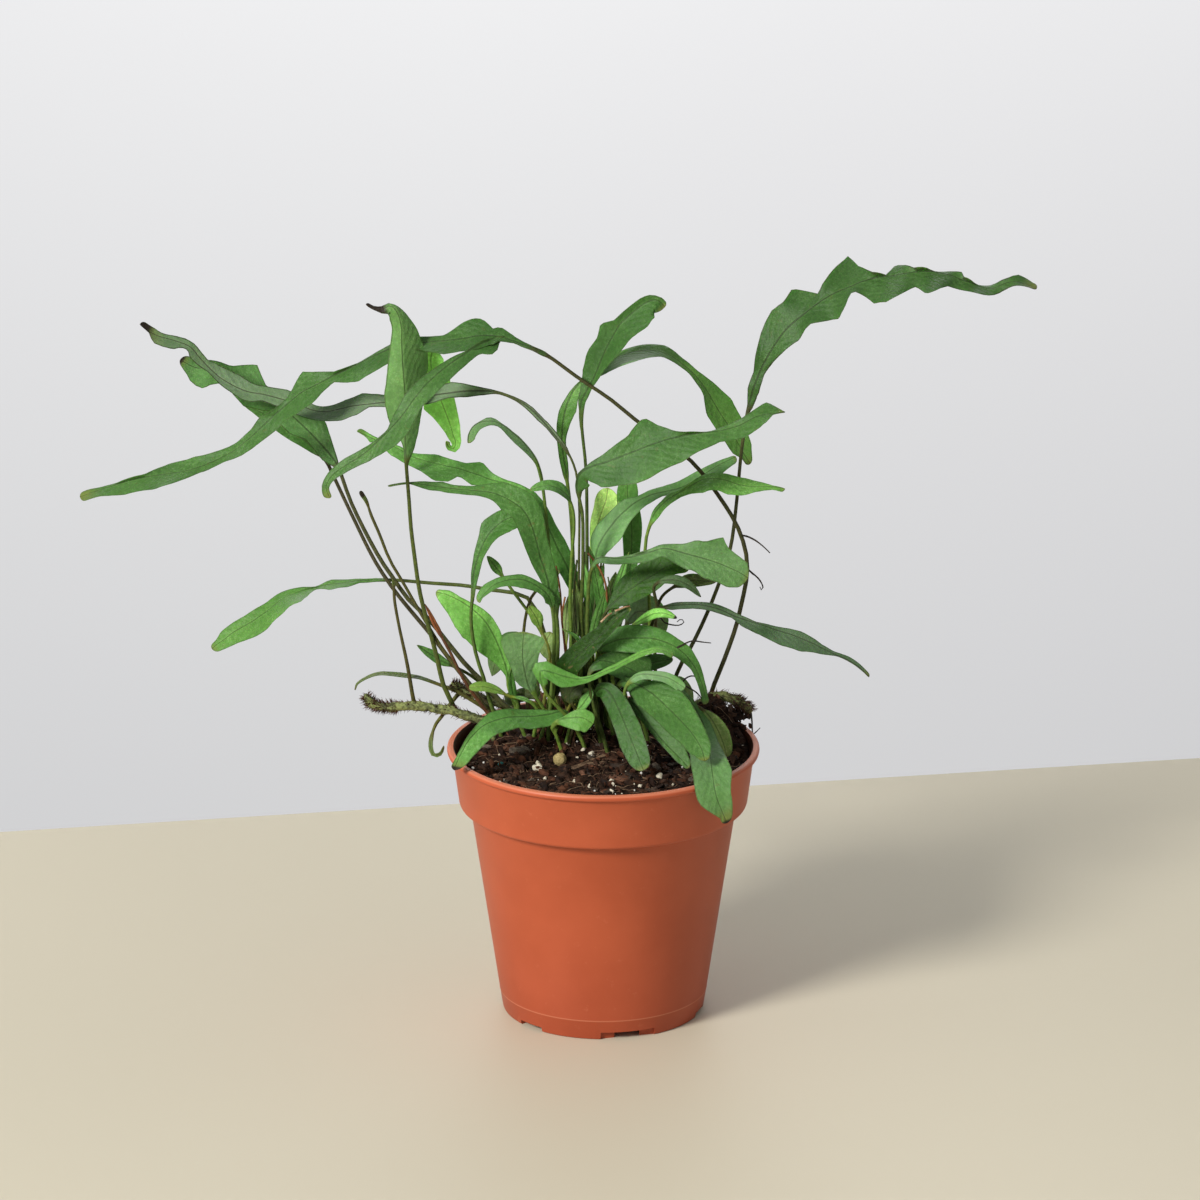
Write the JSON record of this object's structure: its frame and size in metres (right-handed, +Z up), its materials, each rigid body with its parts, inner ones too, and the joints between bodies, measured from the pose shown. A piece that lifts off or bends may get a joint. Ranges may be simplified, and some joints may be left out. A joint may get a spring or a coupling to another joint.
{
  "type": "potted fern",
  "caption": "Kangaroo fern with long wavy strap-shaped fronds on thin stalks and creeping rhizomes, standing in the soil of a tapered round nursery pot.",
  "frame": {"origin": "centre of the flat pad under the pot's floor, level with the foot that the pot stands on", "axes": "+Z up along the pot's axis, +X to the right and +Y away, seen from the pictured side"},
  "size_m": [0.4636, 0.1943, 0.3656],
  "materials": {
    "pot": "moulded terracotta-coloured plastic with a satin surface",
    "soil": "dark crumbly potting soil with bark, fibres and white perlite",
    "leaf": "leathery green blade with a darker midrib",
    "young_leaf": "lighter yellow-green young blade",
    "dark_leaf": "dark grey-green blade, dull on its underside",
    "dead_stalk": "dry brown stalk",
    "rhizome": "green-brown creeping rhizome with brown hairs and scales"
  },
  "bodies": {
    "root": {"pot": "pot", "soil": "soil", "frond_right_wavy": "leaf", "frond_forked": "leaf", "frond_centre_big": "leaf", "frond_right_rear": "leaf", "frond_right_mid": "leaf", "frond_right_broad": "leaf", "frond_right_drooping": "dark_leaf", "frond_left_upright": "leaf", "frond_left_rear": "leaf", "frond_left_low_rear": "leaf", "frond_left_twisted": "leaf", "frond_left_mid": "leaf", "frond_pale_needle_tip": "leaf", "frond_left_long_low": "leaf", "frond_crozier": "dark_leaf", "frond_broken_stipe": "dead_stalk", "frond_rust_stub": "dead_stalk", "frond_centre_upright": "leaf", "frond_centre_arch": "leaf", "frond_thin_arch": "leaf", "frond_mid_curling": "leaf", "frond_upright_yellow": "young_leaf", "frond_upright_right": "leaf", "frond_small_pale": "young_leaf", "frond_left_shiny": "leaf", "frond_low_arch": "leaf", "frond_thin_stalked": "leaf", "frond_small_olive": "young_leaf", "frond_thin_hooked": "leaf", "frond_left_broad": "leaf", "frond_paddle": "leaf", "frond_small_bright": "young_leaf", "frond_left_small": "leaf", "frond_left_narrow": "leaf", "frond_left_curl": "leaf", "frond_front_strap_left": "leaf", "frond_front_rounded": "leaf", "frond_dark_spread": "dark_leaf", "frond_olive_right": "leaf", "frond_grey_right": "leaf", "frond_bright_tip": "young_leaf", "frond_dark_folded": "dark_leaf", "frond_broad_arch": "leaf", "frond_bright_edge": "leaf", "frond_front_strap_mid": "leaf", "frond_front_bright": "leaf", "frond_over_rim": "leaf", "frond_dark_strap": "dark_leaf", "frond_mottled": "dark_leaf", "frond_under_leaf": "dark_leaf", "frond_inner_dark": "dark_leaf", "frond_pale_small": "young_leaf", "frond_back_left": "leaf", "frond_back_mid": "leaf", "frond_back_right": "leaf", "rhizome_left": "rhizome", "rhizome_left_rear": "rhizome", "rhizome_right": "rhizome"}
  },
  "joints": []
}
